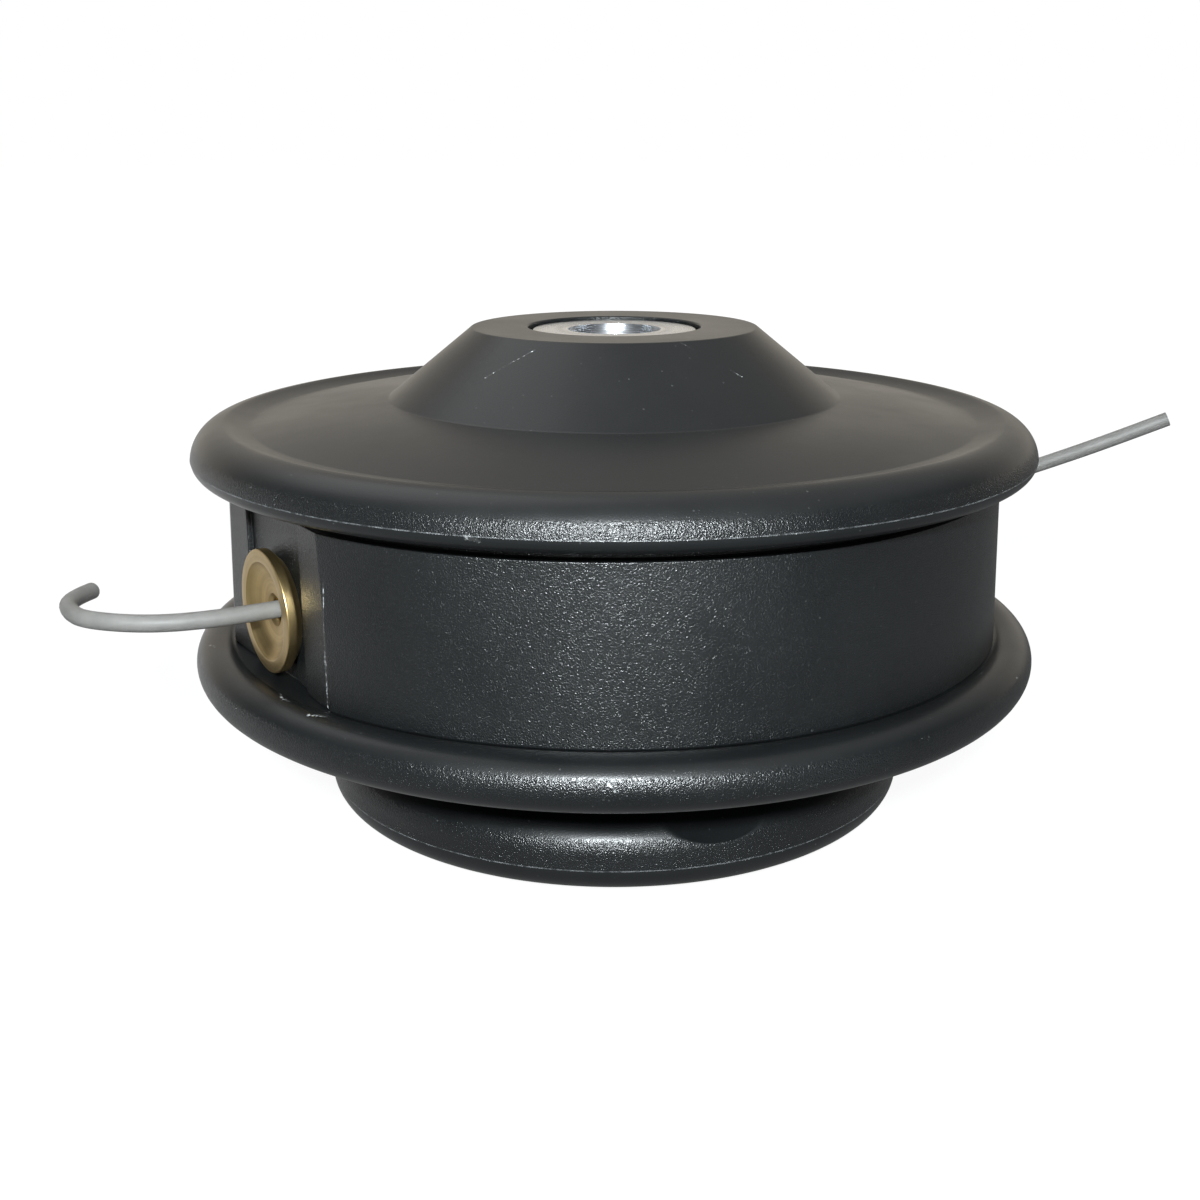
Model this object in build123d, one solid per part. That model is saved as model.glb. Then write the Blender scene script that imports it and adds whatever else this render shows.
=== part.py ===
from build123d import *
from math import cos, hypot, pi, radians, sin, sqrt, tan
import os

# Trimmer head with two lines, fed by tapping the knob on the ground.
# Millimetres, +Z up. The origin is on the head's axis, on the ground under the knob.

os.makedirs("parts", exist_ok=True)

# Clearances
running_clearance = 0.08
loose_clearance = 0.2
seat_clearance = 0.1
thread_clearance = 0.05
overlap = 1.0

# Tap knob
knob_overhang = 10.1
knob_line_height = 4.8
knob_edge_round = 3.8
knob_base_slope = 5.0
knob_side_height = 2.2
knob_shoulder_round = 4.5
knob_neck_radius = 36.5
knob_neck_sweep = 5.6
knob_neck_wall = 3.2
knob_floor = 3.4
knob_web_bottom = 8.0
knob_web = 3.5
knob_ribs = 6
knob_rib_thickness = 2.0
knob_rib_height = 16.0
knob_rib_turn = 30.0
knob_inner_chamfer = 1.0
knob_shoulder_wall = 0.5
scallop_count = 4
scallop_angle = -71.0
scallop_radius = 26.0
scallop_depth = 3.6
scallop_rise = 30.0

# Lower cover
cover_rim_overhang = 6.0
cover_rim_height = 25.3
cover_rim_round = 3.8
cover_floor = 3.0
cover_opening_gap = 1.5
cover_register_height = 2.5
cover_register_wall = 1.8

# Upper housing
flange_overhang = 4.6
flange_over_round = 4.8
flange_under_round = 2.05
wall_draft = 0.7
seam_rise = 3.2
wall_height = 26.45
wall_thickness = 3.8
crease_inset = 9.0
crease_drop = 0.9
bead_fullness = 0.72
cone_spread = 13.0
cone_foot_rise = 7.2
cone_top_radius = 22.1
cone_height = 10.5
cone_shell = 3.4
top_plate = 4.2
dish_sag = 0.35
roof_drop = 4.6
roof_chamfer = 1.5
roof_landing = 3.0
roof_landing_drop = 1.2
boss_wall = 1.0
stop_root = 2.0
cone_rib_count = 8
cone_rib_thickness = 2.0
cone_rib_gap = 0.8

# Line exits, one on each side
exit_angle = 213.5
exit_rise = 1.0
face_cut = 2.9
face_pad_depth = 3.1
eyelet_groove_depth = 0.8
eyelet_groove_half_width = 9.65
eyelet_radius = 8.9
eyelet_rim = 1.35
eyelet_back_bevel = 1.3
eyelet_ring = 1.8
eyelet_dish_depth = 1.7
eyelet_neck_radius = 4.5
eyelet_inner_radius = 6.6
eyelet_inner_flange = 1.5
eyelet_throat = 0.45
eyelet_throat_depth = 0.6
eyelet_flare = 0.9
eyelet_dish_share = 0.3
line_diameter = 2.5
line_bore_clearance = 0.35
arc_share = 0.45

# Arbor insert
insert_radius = 12.7
insert_drop = 0.5
insert_disc = 3.2
insert_recess_clearance = 0.7
insert_hex = 19.0
insert_hex_depth = 11.0
thread_radius = 4.4
thread_mouth_radius = 7.2
thread_end_height = 44.0
spindle_radius = 9.0
spindle_end = 1.0
spindle_relief_radius = 5.2
spindle_relief_depth = 9.8
drill_half_angle = 59.0

# Spring and what it bears on
spring_wire = 2.0
spring_ring_gap = 1.0
spring_turns = 4.5
spring_washer = 1.2
ring_thickness = 1.2
ring_width = 2.2
ring_groove_depth = 0.8
ring_gap = 40.0
seat_gap = 0.4
seat_thickness = 1.4
seat_rim = 0.8
seat_rim_height = 2.0

# Spool and its stops
knob_travel = 5.0
stop_height = 2.4
stop_gap = 0.3
lug_inset = 3.5
lug_depth = 6.0
lug_span = 10.0
lug_gap = 1.0
lower_lug_height = 2.5
upper_lug_height = 4.4
stop_count = 4
stop_angle = 20.0
upper_stop_turn = -35.0
spool_edge = 3.0
spool_gap = 6.1
spool_flange = 2.0
spool_divider = 1.2
spool_core_wall = 3.5
spool_pocket_gap = 0.6
spool_pocket_rise = 6.8
turns_across_chamber = 3
winding_inset = 7.5
notch_width = 3.4
notch_depth = 4.0
notch_turn = -45.0
divider_inset = 1.5
lug_root = 0.5
hub_hex = 22.0

# Fasteners
bolt_radius = 4.0
bolt_hex = 13.0
bolt_head = 5.0
bolt_tip = 0.6
bolt_hole_clearance = 0.2
knob_washer_radius = 7.6
knob_washer_thickness = 1.5
bolt_recess_radius = 8.0
nut_floor_height = 14.6
nut_thickness = 6.4
cover_screw_inset = 0.6
cover_screw_radius = 1.95
cover_screw_head_radius = 3.6
cover_screw_head = 2.6
cover_screw_socket = 3.0
cover_screw_length = 17.0
cover_screw_counterbore = 3.0
cover_screw_boss = 3.8
cover_screw_pad = 4.6
cover_screw_head_gap = 0.4
cover_screw_hole_gap = 0.25
cover_screw_turn = 45.0
cover_screw_tip = 2.0

# Radii that follow, from the spindle outward
ring_radius = spindle_radius + ring_width
spring_radius = ring_radius + spring_ring_gap + spring_wire / 2
seat_radius = spring_radius + spring_wire / 2 + seat_gap + seat_rim
spool_pocket_radius = seat_radius + spool_pocket_gap
spool_core_radius = spool_pocket_radius + spool_core_wall
boss_radius = spool_pocket_radius + boss_wall

# Radii that follow, from the knob's neck outward
knob_radius = knob_neck_radius + knob_overhang
cover_opening_radius = knob_neck_radius + cover_opening_gap
lug_inner_radius = cover_opening_radius + lug_inset
lug_outer_radius = lug_inner_radius + lug_depth
spool_radius = lug_outer_radius + spool_edge
winding_radius = spool_radius - winding_inset
wall_inner_radius = spool_radius + spool_gap
wall_foot_radius = wall_inner_radius + wall_thickness
wall_top_radius = wall_foot_radius - wall_draft
flange_radius = wall_foot_radius + flange_overhang
crease_radius = flange_radius - crease_inset
cone_foot_radius = cone_top_radius + cone_spread
cover_rim_radius = wall_foot_radius + cover_rim_overhang
cover_rim_centre = cover_rim_radius - cover_rim_round
cover_screw_circle = wall_inner_radius - cover_screw_inset
face_distance = wall_foot_radius - face_cut
face_pad = wall_inner_radius - face_pad_depth

# Heights and places that follow from the sizes above
wall_foot_height = cover_rim_height + seam_rise
exit_height = wall_foot_height + eyelet_radius + exit_rise
flange_height = wall_foot_height + wall_height + flange_under_round
dish_edge_height = flange_height + flange_over_round - crease_drop
cone_foot_height = flange_height + cone_foot_rise
top_height = cone_foot_height + cone_height
roof_height = flange_height + flange_over_round - roof_drop
cover_base_height = cover_rim_height - cover_rim_round
cover_floor_height = cover_base_height + cover_floor

lug_foot_height = cover_floor_height + loose_clearance
spool_base = lug_foot_height + lower_lug_height
spool_pocket_floor = spool_base + spool_pocket_rise
spindle_end_height = spool_base + spindle_end
chamber_height = turns_across_chamber * line_diameter
lower_chamber = spool_base + spool_flange
divider_base = lower_chamber + chamber_height
upper_chamber = divider_base + spool_divider
upper_flange = upper_chamber + chamber_height
spool_top = upper_flange + spool_flange
upper_stop_height = spool_top + knob_travel + stop_gap

insert_top = top_height - insert_drop
insert_shoulder = insert_top - insert_disc
insert_hex_end = insert_shoulder - insert_hex_depth
washer_height = roof_height - spring_washer
ring_height = washer_height - ring_thickness
spring_seat_height = spool_pocket_floor + seat_clearance
knob_web_top = knob_web_bottom + knob_web
bolt_end_height = nut_floor_height + nut_thickness + bolt_tip

face_half_width = sqrt(wall_foot_radius**2 - face_distance**2)
pad_half_width = sqrt(wall_inner_radius**2 - face_pad**2)
groove_floor = face_distance - eyelet_groove_depth
eyelet_back = groove_floor + eyelet_back_bevel
eyelet_face = eyelet_back + eyelet_rim
slot_half_width = eyelet_neck_radius + loose_clearance
line_radius = line_diameter / 2
eyelet_bore_radius = line_radius + line_bore_clearance
exits = [Rot(0, 0, exit_angle), Rot(0, 0, exit_angle + 180)]
stop_turns = [360 / stop_count * index for index in range(stop_count)]
screw_places = [
    Rot(0, 0, exit_angle + cover_screw_turn + turn) * Pos(cover_screw_circle, 0, 0) for turn in stop_turns
]

# Routes of the two free line ends, chosen by hand. Each point is beyond the eyelet's face,
# across it, and above the exit's axis.
left_route = [
    (-8.1, 0.0, 0.0),
    (0.8, 0.0, 0.0),
    (10.3, -0.3, 0.4),
    (16.9, -4.0, 0.4),
    (19.8, -8.6, -0.2),
    (19.9, -13.8, -1.4),
    (19.5, -18.8, -3.3),
    (22.3, -20.6, -0.4),
    (22.2, -17.0, 2.4),
    (19.5, -13.5, 2.5),
]
right_route = [
    (-8.1, 0.0, 0.0),
    (0.8, 0.0, 0.0),
    (11.1, -1.5, 0.9),
    (18.3, -8.5, 4.0),
    (24.5, -16.1, 8.1),
    (31.1, -23.4, 12.3),
    (38.2, -30.3, 16.7),
]


def turned(*edges):
    """Solid of revolution about the head's axis from a closed outline of radius and height."""
    return revolve(Plane.XZ * make_face(Wire(list(edges))), Axis.Z)


def outline(*points):
    """Solid of revolution from a closed outline of straight lines."""
    return revolve(Plane.XZ * make_face(Polyline(*points, close=True)), Axis.Z)


def tube(inner, outer, low, high):
    """Round tube on the head's axis."""
    return extrude(Pos(0, 0, low) * (Circle(outer) - Circle(inner)), high - low)


def post(radius, low, high):
    """Round post on the head's axis."""
    return extrude(Pos(0, 0, low) * Circle(radius), high - low)


def hexagon(across_flats, low, high):
    """Hexagonal prism on the head's axis."""
    return extrude(Pos(0, 0, low) * RegularPolygon(across_flats / 2, 6, major_radius=False), high - low)


def block(near, far, half_width, low, high):
    """Block that reaches outward along +X between two distances from the axis."""
    middle = Pos((near + far) / 2, 0, (low + high) / 2)
    return middle * Box(far - near, 2 * half_width, high - low)


def sector(inner, outer, start, span, low, high):
    """Piece of a ring between two radii, two angles and two heights."""
    reach = 2 * outer
    first = (reach * cos(radians(start)), reach * sin(radians(start)))
    last = (reach * cos(radians(start + span)), reach * sin(radians(start + span)))
    wedge = make_face(Polyline((0, 0), first, last, close=True))
    return extrude(Pos(0, 0, low) * ((Circle(outer) - Circle(inner)) & wedge), high - low)


def outward(distance, height):
    """Frame whose local Z points outward along +X at a distance from the axis."""
    return Plane(origin=(distance, 0, height), x_dir=(0, 1, 0), z_dir=(1, 0, 0))


def outward_post(radius, near, far, height):
    """Round post along +X between two distances from the axis."""
    return extrude(outward(near, height) * Circle(radius), far - near)


def make_upper_housing():
    """Cone, flange and skirt wall in one moulding, with the two line exits."""
    over_centre = flange_radius - flange_over_round
    under_centre = flange_radius - flange_under_round
    wall_top = flange_height - flange_under_round
    dish_middle_height = (cone_foot_height + dish_edge_height) / 2 - dish_sag
    dish_middle = ((cone_foot_radius + crease_radius) / 2, dish_middle_height)
    bead_top = (over_centre, flange_height + flange_over_round)
    bead_middle = ((crease_radius + over_centre) / 2, dish_edge_height + bead_fullness * crease_drop)
    cone = Polyline(
        (0, wall_foot_height),
        (0, top_height),
        (cone_top_radius, top_height),
        (cone_foot_radius, cone_foot_height),
    )
    wall = Polyline(
        (under_centre, wall_top),
        (wall_top_radius, wall_top),
        (wall_foot_radius, wall_foot_height),
        (0, wall_foot_height),
    )
    shell = turned(
        *cone.edges(),
        ThreePointArc((cone_foot_radius, cone_foot_height), dish_middle, (crease_radius, dish_edge_height)),
        ThreePointArc((crease_radius, dish_edge_height), bead_middle, bead_top),
        CenterArc((over_centre, flange_height), flange_over_round, 0, 90),
        CenterArc((under_centre, flange_height), flange_under_round, -90, 90),
        *wall.edges(),
    )

    # The hollow under the cone and flange, with a boss left round the arbor
    cone_run = cone_foot_radius - cone_top_radius
    cone_slope = hypot(cone_run, cone_height)
    inner_foot = (
        cone_foot_radius - cone_shell * cone_height / cone_slope,
        cone_foot_height - cone_shell * cone_run / cone_slope,
    )
    plate_height = top_height - top_plate
    inner_top_radius = inner_foot[0] - (plate_height - inner_foot[1]) * cone_run / cone_height
    hollow = outline(
        (0, wall_foot_height - overlap),
        (wall_inner_radius, wall_foot_height - overlap),
        (wall_inner_radius, roof_height - roof_chamfer),
        (wall_inner_radius - roof_chamfer, roof_height),
        (lug_outer_radius + roof_chamfer, roof_height),
        (inner_foot[0] + roof_landing, inner_foot[1] - roof_landing_drop),
        inner_foot,
        (inner_top_radius, plate_height),
        (boss_radius, plate_height),
        (boss_radius, roof_height),
        (0, roof_height),
    )
    housing = shell - hollow

    rib_base = roof_height + cone_rib_gap
    for index in range(cone_rib_count):
        rib_end = inner_foot[0] + overlap
        rib = block(boss_radius - overlap, rib_end, cone_rib_thickness / 2, rib_base, top_height)
        housing += (Rot(0, 0, 360 / cone_rib_count * index) * rib) & shell

    for turn in stop_turns:
        start = stop_angle + upper_stop_turn + turn - lug_span
        top = roof_height + stop_root
        housing += sector(lug_inner_radius, lug_outer_radius, start, lug_span, upper_stop_height, top)

    for place in screw_places:
        top = wall_foot_height + cover_screw_length + cover_screw_tip
        housing += place * post(cover_screw_boss, wall_foot_height, top)

    # Flat faces, eyelet grooves and slots at the line exits
    for exit_place in exits:
        pad_top = roof_height + overlap
        pad = block(face_pad, wall_inner_radius + overlap, pad_half_width, wall_foot_height, pad_top)
        housing += exit_place * (pad & post(wall_inner_radius + overlap, wall_foot_height, pad_top))
    for exit_place in exits:
        beyond = flange_radius + overlap
        below = wall_foot_height - overlap
        face = block(face_distance, beyond, face_half_width + overlap, below, wall_top)
        groove = block(groove_floor, beyond, eyelet_groove_half_width, below, wall_top)
        slot = block(face_pad - overlap, beyond, slot_half_width, below, exit_height)
        slot += outward_post(slot_half_width, face_pad - overlap, beyond, exit_height)
        housing -= exit_place * (face + groove + slot)

    # Screw holes, and the stepped hole for the arbor insert
    hole_top = wall_foot_height + cover_screw_length
    for place in screw_places:
        housing -= place * post(cover_screw_radius + thread_clearance, wall_foot_height - overlap, hole_top)
    housing -= post(insert_radius + insert_recess_clearance, insert_shoulder, top_height + overlap)
    housing -= hexagon(insert_hex + seat_clearance, insert_hex_end, insert_shoulder)
    housing -= post(spindle_radius + seat_clearance, roof_height - overlap, insert_hex_end)
    return housing


def make_arbor_insert():
    """Turned insert: disc, hexagon and spindle, threaded from the top."""
    insert = post(insert_radius, insert_shoulder, insert_top)
    insert += hexagon(insert_hex, insert_hex_end, insert_shoulder)
    insert += post(spindle_radius, spindle_end_height, insert_hex_end)
    mouth_depth = thread_mouth_radius - thread_radius
    drill_tip = thread_radius / tan(radians(drill_half_angle))
    insert -= outline(
        (0, thread_end_height - drill_tip),
        (thread_radius, thread_end_height),
        (thread_radius, insert_top - mouth_depth),
        (thread_mouth_radius, insert_top),
        (0, insert_top),
    )
    insert -= post(spindle_relief_radius, spindle_end_height, spindle_end_height + spindle_relief_depth)
    insert -= tube(spindle_radius - ring_groove_depth, spindle_radius + overlap, ring_height, washer_height)
    return insert


def make_retaining_ring():
    """Open ring in the spindle's groove."""
    inner = spindle_radius - ring_groove_depth
    ring = tube(inner, ring_radius, ring_height, washer_height)
    gap = sector(inner - overlap, ring_radius + overlap, -ring_gap / 2, ring_gap, ring_height, washer_height)
    return ring - gap


def make_spring_washer():
    """Plain washer between the spring and the housing's boss."""
    return tube(spindle_radius + seat_clearance, spool_pocket_radius, washer_height, roof_height)


def make_spring():
    """Round-wire compression spring between the top washer and the seat."""
    low = spring_seat_height + seat_thickness + spring_wire / 2
    high = washer_height - spring_wire / 2
    path = Pos(0, 0, low) * Helix((high - low) / spring_turns, high - low, spring_radius)
    section = Plane(origin=path @ 0, z_dir=path % 0) * Circle(spring_wire / 2)
    return sweep(section, path=path, is_frenet=True)


def make_spring_seat():
    """Flanged washer that carries the spring in the spool's pocket."""
    low = spring_seat_height
    seat = tube(spindle_radius + loose_clearance, seat_radius, low, low + seat_thickness)
    return seat + tube(seat_radius - seat_rim, seat_radius, low, low + seat_thickness + seat_rim_height)


def make_eyelet(exit_place):
    """Turned eyelet: dished outer flange, neck through the wall and inner flange."""
    inner_face = face_pad - seat_clearance
    neck_end = inner_face - eyelet_inner_flange
    dish_radius = eyelet_radius - eyelet_ring
    dish_floor = eyelet_face - eyelet_dish_depth
    throat = eyelet_bore_radius + eyelet_throat
    inner_flare = eyelet_bore_radius + eyelet_flare
    dish = ThreePointArc(
        (throat, dish_floor),
        ((throat + dish_radius) / 2, dish_floor + eyelet_dish_share * eyelet_dish_depth),
        (dish_radius, eyelet_face),
    )
    body = Polyline(
        (dish_radius, eyelet_face),
        (eyelet_radius, eyelet_face),
        (eyelet_radius, eyelet_back),
        (eyelet_radius - eyelet_back_bevel, groove_floor),
        (eyelet_neck_radius, groove_floor),
        (eyelet_neck_radius, inner_face),
        (eyelet_inner_radius, inner_face),
        (eyelet_inner_radius, neck_end),
        (inner_flare, neck_end),
        (eyelet_bore_radius, neck_end + eyelet_flare),
        (eyelet_bore_radius, dish_floor - eyelet_throat_depth),
        (throat, dish_floor),
    )
    blank = turned(dish, *body.edges())
    return exit_place * Pos(0, 0, exit_height) * Rot(0, 90, 0) * blank


def make_lower_cover():
    """Ring-shaped cover with a rounded rim, a floor, stops and two tongues under the eyelets."""
    seat_reach = sqrt(cover_rim_round**2 - (wall_foot_height - cover_rim_height) ** 2)
    seat_edge = cover_rim_centre - seat_reach
    register_outer = wall_inner_radius - loose_clearance
    register_inner = register_outer - cover_register_wall
    register_top = wall_foot_height + cover_register_height
    body = Polyline(
        (seat_edge, wall_foot_height),
        (register_outer, wall_foot_height),
        (register_outer, register_top),
        (register_inner, register_top),
        (register_inner, cover_floor_height),
        (cover_opening_radius, cover_floor_height),
        (cover_opening_radius, cover_base_height),
        (cover_rim_centre, cover_base_height),
    )
    rim_middle = (cover_rim_radius, cover_rim_height)
    rim = ThreePointArc((cover_rim_centre, cover_base_height), rim_middle, (seat_edge, wall_foot_height))
    cover = turned(rim, *body.edges())

    for turn in stop_turns:
        low = cover_floor_height - overlap
        top = cover_floor_height + stop_height
        start = stop_angle + turn - lug_span
        cover += sector(lug_inner_radius, lug_outer_radius, start, lug_span, low, top)
    for place in screw_places:
        cover += place * post(cover_screw_pad, cover_base_height, wall_foot_height)
        cover -= place * post(cover_screw_boss + loose_clearance, wall_foot_height, register_top + overlap)

    for exit_place in exits:
        half_width = pad_half_width + 2 * loose_clearance
        inner = lug_outer_radius + overlap
        clear = block(inner, wall_inner_radius, half_width, wall_foot_height, register_top + overlap)
        tongue = block(
            face_pad + seat_clearance,
            groove_floor - seat_clearance,
            slot_half_width - seat_clearance,
            wall_foot_height - overlap,
            exit_height,
        )
        tongue -= outward_post(slot_half_width, face_pad - overlap, groove_floor + overlap, exit_height)
        cover = cover - exit_place * clear + exit_place * tongue

    for place in screw_places:
        seat = cover_base_height + cover_screw_counterbore
        hole_radius = cover_screw_radius + cover_screw_hole_gap
        cover -= place * post(cover_screw_head_radius + cover_screw_head_gap, cover_base_height, seat)
        cover -= place * post(hole_radius, cover_base_height, register_top + overlap)
    return cover


def make_cover_screws():
    """Four equal screws that hold the cover to the housing's bosses."""
    seat = cover_base_height + cover_screw_counterbore
    head_base = seat - cover_screw_head
    screw = post(cover_screw_head_radius, head_base, seat)
    screw += post(cover_screw_radius, seat, seat + cover_screw_length)
    screw -= hexagon(cover_screw_socket, head_base, seat - cover_screw_head / 2)
    return Compound([place * screw for place in screw_places])


def make_spool():
    """Two-chamber spool with stop lugs above and below and a hexagonal boss for the knob."""
    core = outline(
        (0, spool_base),
        (spool_radius, spool_base),
        (spool_radius, lower_chamber),
        (spool_core_radius, lower_chamber),
        (spool_core_radius, divider_base),
        (spool_radius - divider_inset, divider_base),
        (spool_radius - divider_inset, upper_chamber),
        (spool_core_radius, upper_chamber),
        (spool_core_radius, upper_flange),
        (spool_radius, upper_flange),
        (spool_radius, spool_top),
        (0, spool_top),
    )
    spool = core + hexagon(hub_hex, knob_web_top, spool_base)
    for turn in stop_turns:
        start = stop_angle + turn + lug_gap
        for low, high in (
            (lug_foot_height, spool_base + lug_root),
            (spool_top - lug_root, spool_top + upper_lug_height),
        ):
            spool += sector(lug_inner_radius, lug_outer_radius, start, lug_span, low, high)

    # Notches that hold the line's tip, two in each flange
    for low, high in ((spool_base, lower_chamber), (upper_flange, spool_top)):
        for turn in stop_turns[1::2]:
            notch = block(spool_radius - notch_depth, spool_radius + overlap, notch_width / 2, low, high)
            spool -= Rot(0, 0, stop_angle + turn + notch_turn) * notch

    # Pocket for the spring, bore on the spindle, nut pocket and bolt hole
    spool -= post(spool_pocket_radius, spool_pocket_floor, spool_top)
    spool -= post(spindle_radius + running_clearance, nut_floor_height + nut_thickness, spool_pocket_floor)
    spool -= hexagon(bolt_hex + seat_clearance, nut_floor_height, nut_floor_height + nut_thickness)
    spool -= post(bolt_radius + bolt_hole_clearance, knob_web_top, nut_floor_height)
    return spool


def make_winding(low):
    """One chamber's winding as a closed ring, ridged by the line's outer turns."""
    ridge_centre = winding_radius - line_radius
    start = low + seat_clearance
    pitch = (chamber_height - 2 * seat_clearance) / turns_across_chamber
    ridges = [
        ThreePointArc(
            (ridge_centre, start + pitch * index),
            (winding_radius, start + pitch * (index + 0.5)),
            (ridge_centre, start + pitch * (index + 1)),
        )
        for index in range(turns_across_chamber)
    ]
    back = Polyline(
        (ridge_centre, start + pitch * turns_across_chamber),
        (spool_core_radius, start + pitch * turns_across_chamber),
        (spool_core_radius, start),
        (ridge_centre, start),
    )
    return turned(*ridges, *back.edges())


def make_knob():
    """Tap knob: hollow moulding with a rounded rim, finger scallops and a hexagonal socket."""
    slope = radians(knob_base_slope)
    edge_centre = knob_radius - knob_edge_round
    base_edge = (
        edge_centre + knob_edge_round * sin(slope),
        knob_line_height - knob_edge_round * cos(slope),
    )
    flat_radius = base_edge[0] - base_edge[1] / tan(slope)
    edge_middle = (slope - radians(90)) / 2
    shoulder_height = knob_line_height + knob_side_height
    shoulder_centre = knob_radius - knob_shoulder_round
    shoulder_top = shoulder_height + knob_shoulder_round
    neck_height = shoulder_top + knob_neck_sweep
    sweep_share = 1 - sqrt(0.5)
    base = Polyline((0, spool_base), (0, 0), (flat_radius, 0), base_edge)
    edge = ThreePointArc(
        base_edge,
        (
            edge_centre + knob_edge_round * cos(edge_middle),
            knob_line_height + knob_edge_round * sin(edge_middle),
        ),
        (knob_radius, knob_line_height),
    )
    neck_curve = ThreePointArc(
        (shoulder_centre, shoulder_top),
        (
            knob_neck_radius + (shoulder_centre - knob_neck_radius) * sweep_share,
            shoulder_top + knob_neck_sweep * sweep_share,
        ),
        (knob_neck_radius, neck_height),
    )
    neck = Polyline((knob_neck_radius, neck_height), (knob_neck_radius, spool_base), (0, spool_base))
    knob = turned(
        *base.edges(),
        edge,
        Line((knob_radius, knob_line_height), (knob_radius, shoulder_height)),
        CenterArc((shoulder_centre, shoulder_height), knob_shoulder_round, 0, 90),
        neck_curve,
        *neck.edges(),
    )

    # Hollow between the socket and the outer wall, stiffened by ribs
    neck_inner = knob_neck_radius - knob_neck_wall
    socket_outer = hub_hex / sqrt(3) + knob_web
    hollow_side = knob_radius - knob_edge_round
    hollow = outline(
        (bolt_recess_radius + knob_web, knob_floor),
        (hollow_side - knob_inner_chamfer, knob_floor),
        (hollow_side, knob_floor + knob_inner_chamfer),
        (neck_inner, shoulder_top - knob_shoulder_wall),
        (neck_inner, spool_base),
        (socket_outer, spool_base),
        (socket_outer, knob_web_bottom),
    )
    knob -= hollow
    for index in range(knob_ribs):
        rib_low = knob_floor - overlap
        rib = block(hub_hex / sqrt(3), neck_inner + overlap, knob_rib_thickness / 2, rib_low, knob_rib_height)
        knob += Rot(0, 0, 360 / knob_ribs * index + knob_rib_turn) * rib
    knob -= hexagon(hub_hex + 2 * seat_clearance, knob_web_top, spool_base)
    knob -= post(bolt_recess_radius, 0, knob_web_bottom)
    knob -= post(bolt_radius + bolt_hole_clearance, knob_web_bottom, knob_web_top)

    # Finger scallops across the shoulder
    for index in range(scallop_count):
        centre_height = shoulder_top - scallop_depth + scallop_radius / cos(radians(scallop_rise))
        across = Rot(0, 90 + scallop_rise, 0) * Cylinder(scallop_radius, 2 * (knob_overhang + scallop_depth))
        turn = Rot(0, 0, scallop_angle + 360 / scallop_count * index)
        knob -= turn * Pos(knob_radius, 0, centre_height) * across
    return knob


def make_knob_bolt():
    """Hexagon-headed bolt through the knob into the hub's nut."""
    head_top = knob_web_bottom - knob_washer_thickness
    return hexagon(bolt_hex, head_top - bolt_head, head_top) + post(bolt_radius, head_top, bolt_end_height)


def make_knob_washer():
    """Washer under the bolt's head."""
    low = knob_web_bottom - knob_washer_thickness
    return tube(bolt_radius + bolt_hole_clearance, knob_washer_radius, low, knob_web_bottom)


def make_hub_nut():
    """Nut held in the hub's hexagonal pocket."""
    nut = hexagon(bolt_hex, nut_floor_height, nut_floor_height + nut_thickness)
    return nut - post(bolt_radius + thread_clearance, nut_floor_height, nut_floor_height + nut_thickness)


def make_line(route, exit_place, name):
    """Free line end: straight runs joined by tangent arcs, as large as the runs allow."""
    start = exit_place * Pos(eyelet_face, 0, exit_height)
    points = [(start * Pos(*point)).position for point in route]
    radii = []
    for before, corner, after in zip(points, points[1:], points[2:]):
        half_turn = radians((corner - before).get_angle(after - corner) / 2)
        shorter = min((corner - before).length, (after - corner).length)
        radii.append(arc_share * shorter / tan(half_turn))
    path = FilletPolyline(*points, radius=radii)
    section = Plane(origin=path @ 0, z_dir=path % 0) * Circle(line_radius)
    line = sweep(section, path=path)
    ideal = pi * line_radius**2 * path.length
    print(name, "radii", [round(radius, 1) for radius in radii])
    print(name, "length", round(path.length, 1), "volume", round(line.volume, 1), "of", round(ideal, 1))
    return line


parts = {
    "upper_housing": make_upper_housing(),
    "arbor_insert": make_arbor_insert(),
    "insert_retaining_ring": make_retaining_ring(),
    "spring_top_washer": make_spring_washer(),
    "spring": make_spring(),
    "spring_seat": make_spring_seat(),
    "eyelet_left": make_eyelet(exits[0]),
    "eyelet_right": make_eyelet(exits[1]),
    "lower_cover": make_lower_cover(),
    "cover_screws": make_cover_screws(),
    "spool": make_spool(),
    "winding_lower": make_winding(lower_chamber),
    "winding_upper": make_winding(upper_chamber),
    "tap_knob": make_knob(),
    "knob_bolt": make_knob_bolt(),
    "knob_washer": make_knob_washer(),
    "hub_nut": make_hub_nut(),
    "line_end_left": make_line(left_route, exits[0], "left line end"),
    "line_end_right": make_line(right_route, exits[1], "right line end"),
}

for node, shape in parts.items():
    export_step(shape, f"parts/{node}.step")
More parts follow.
